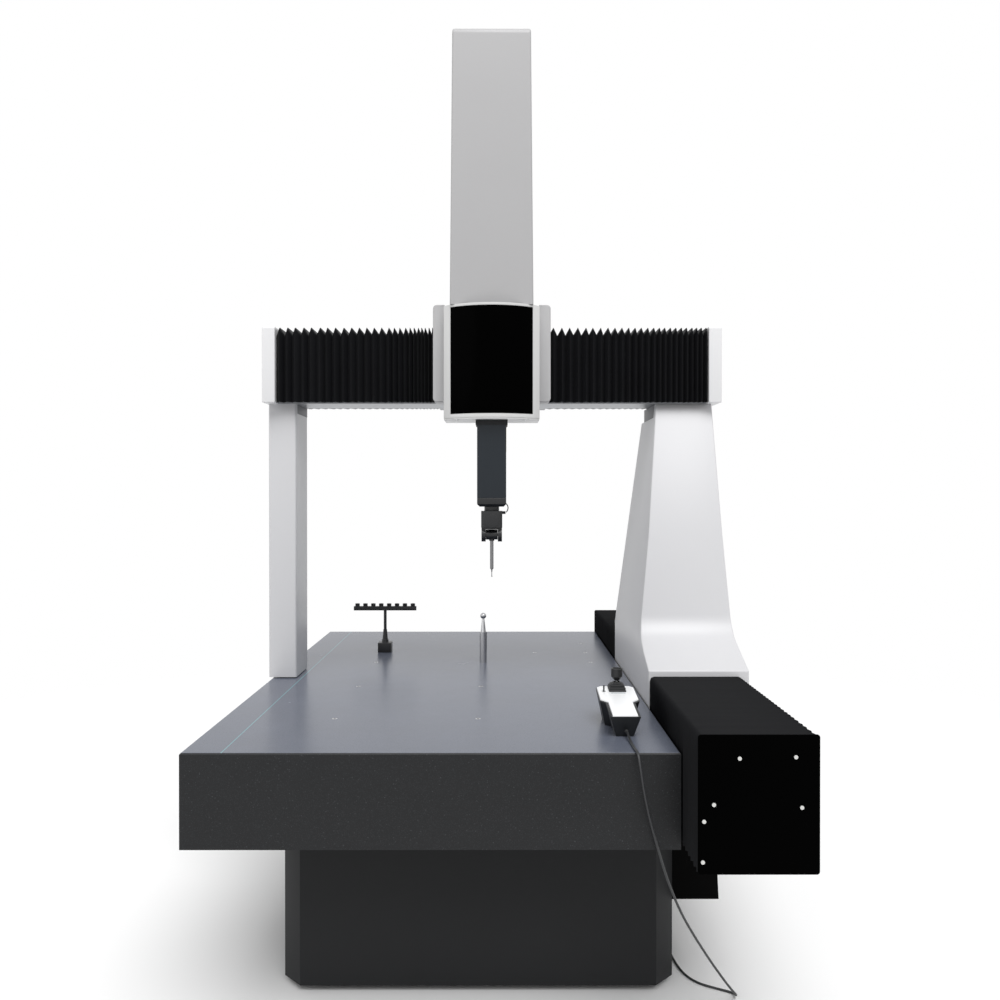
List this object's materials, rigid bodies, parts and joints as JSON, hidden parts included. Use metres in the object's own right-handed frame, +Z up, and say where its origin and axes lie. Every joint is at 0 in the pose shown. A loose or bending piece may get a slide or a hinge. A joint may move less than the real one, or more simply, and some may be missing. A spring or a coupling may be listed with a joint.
{
  "type": "coordinate measuring machine",
  "caption": "Bridge coordinate measuring machine: granite table on a welded base, moving bridge on a covered side guide, carriage, vertical ram with a motorised probe head, and a hand pendant.",
  "frame": {"origin": "floor level, under the middle of the machine's footprint", "axes": "+Z up along the ram; +X to the operator's right along the bridge beam; +Y away from the operator along the side guide"},
  "size_m": [1.71, 2.39, 3.208],
  "materials": {
    "granite": "dark granite, finely speckled, honed top face",
    "base_paint": "dark grey textured paint",
    "light_paint": "light grey satin paint",
    "cover_paint": "pale grey satin paint",
    "front_cover_white": "white satin moulded cover",
    "gloss_black": "black gloss panel",
    "black_cover": "black satin sheet cover",
    "screw_heads": "plain button heads",
    "dark_paint": "black satin paint",
    "bellows": "black coated fabric, pleated",
    "guide_metal": "ground aluminium",
    "ram_surface": "blue-grey hard-coated aluminium",
    "bearing_metal": "anodised aluminium",
    "steel": "ground steel",
    "scale_tape": "measuring tape, satin",
    "head_case": "dark grey moulded case",
    "probe_black": "black anodised",
    "ceramic": "white ceramic ball and stem",
    "pendant_dark": "dark grey moulded shell",
    "pendant_light": "pale grey moulded plate",
    "rubber_black": "black rubber",
    "knob_black": "black moulded knob",
    "cable_black": "black cable jacket",
    "connector": "black moulded connector",
    "rack_metal": "dark grey anodised"
  },
  "bodies": {
    "root": {"base_cabinet": "base_paint", "levelling_feet": "steel", "table_support_pads": "rubber_black", "granite_table": "granite", "table_inserts": "steel", "guide_console": "dark_paint", "y_guide_beam": "guide_metal", "y_scale": "scale_tape", "y_cover_end_plates": "black_cover", "cover_plate_screws": "screw_heads", "y_bellows_front": "bellows", "y_bellows_rear": "bellows", "stylus_rack_base": "rack_metal", "stylus_rack_post": "steel", "stylus_rack_bar": "rack_metal", "sphere_column": "steel", "reference_sphere": "ceramic", "pendant_shell": "pendant_dark", "pendant_top_plate": "pendant_light", "joystick_boot": "rubber_black", "pendant_gland": "rubber_black", "pendant_cord": "cable_black", "pendant_plug": "connector", "base_socket": "connector"},
    "bridge": {"left_leg": "light_paint", "right_leg": "light_paint", "leg_top_pads": "dark_paint", "bridge_air_bearings": "bearing_metal", "y_drive_unit": "dark_paint", "x_beam": "guide_metal", "x_scale": "scale_tape", "beam_end_caps": "light_paint", "x_bellows_left": "bellows", "x_bellows_right": "bellows"},
    "carriage": {"carriage_frame": "guide_metal", "carriage_air_bearings": "bearing_metal", "x_drive_unit": "dark_paint", "carriage_side_covers": "cover_paint", "carriage_front_cover": "front_cover_white", "carriage_front_panel": "gloss_black", "carriage_bottom_plate": "dark_paint", "ram_wiper": "rubber_black", "carriage_rear_cover": "cover_paint", "tower_cover": "cover_paint", "counterbalance_rod": "steel", "z_drive_unit": "dark_paint"},
    "ram": {"z_ram": "ram_surface", "ram_top_gland": "steel", "z_scale": "scale_tape", "ram_end_cap": "dark_paint", "head_body": "head_case", "head_cable": "cable_black"},
    "rotor": {"head_rotor": "head_case"},
    "probe": {"head_knuckle": "head_case", "probe_body": "probe_black", "stylus": "ceramic"},
    "gimbal": {"joystick_gimbal": "steel"},
    "lever": {"joystick_lever": "steel"},
    "knob": {"joystick_knob": "knob_black"},
    "toggle": {"pendant_toggle": "steel"}
  },
  "joints": [
    {"name": "bridge_y", "type": "slide", "parent": "root", "child": "bridge", "axis": [0, 1, 0], "range_m": [-0.6, 0.6], "deforming": ["y_bellows_front", "y_bellows_rear"]},
    {"name": "carriage_x", "type": "slide", "parent": "bridge", "child": "carriage", "axis": [1, 0, 0], "range_m": [-0.5, 0.5], "deforming": ["x_bellows_left", "x_bellows_right"]},
    {"name": "ram_z", "type": "slide", "parent": "carriage", "child": "ram", "axis": [0, 0, 1], "range_m": [-0.39, 0.27]},
    {"name": "head_turn", "type": "hinge", "parent": "ram", "child": "rotor", "pos_m": [0, -0.173, 1.4], "axis": [0, 0, 1], "range_deg": [-180, 180]},
    {"name": "head_tilt", "type": "hinge", "parent": "rotor", "child": "probe", "pos_m": [0, -0.173, 1.4], "axis": [-1, 0, 0], "range_deg": [0, 105]},
    {"name": "joystick_fore_aft", "type": "hinge", "parent": "root", "child": "gimbal", "pos_m": [0.391, -0.644, 0.9329], "axis": [1, 0, 0], "range_deg": [-20, 20], "stiffness_Nm_per_rad": 0.4, "deforming": ["joystick_boot"]},
    {"name": "joystick_sideways", "type": "hinge", "parent": "gimbal", "child": "lever", "pos_m": [0.391, -0.644, 0.9329], "axis": [0, 1, 0], "range_deg": [-20, 20], "stiffness_Nm_per_rad": 0.4, "deforming": ["joystick_boot"]},
    {"name": "knob_twist", "type": "hinge", "parent": "lever", "child": "knob", "pos_m": [0.391, -0.644, 0.9729], "axis": [0, 0, 1], "range_deg": [-15, 15], "stiffness_Nm_per_rad": 0.1},
    {"name": "toggle_tip", "type": "hinge", "parent": "root", "child": "toggle", "pos_m": [0.349, -0.662, 0.9316], "axis": [1, 0, 0], "range_deg": [-15, 15]}
  ]
}
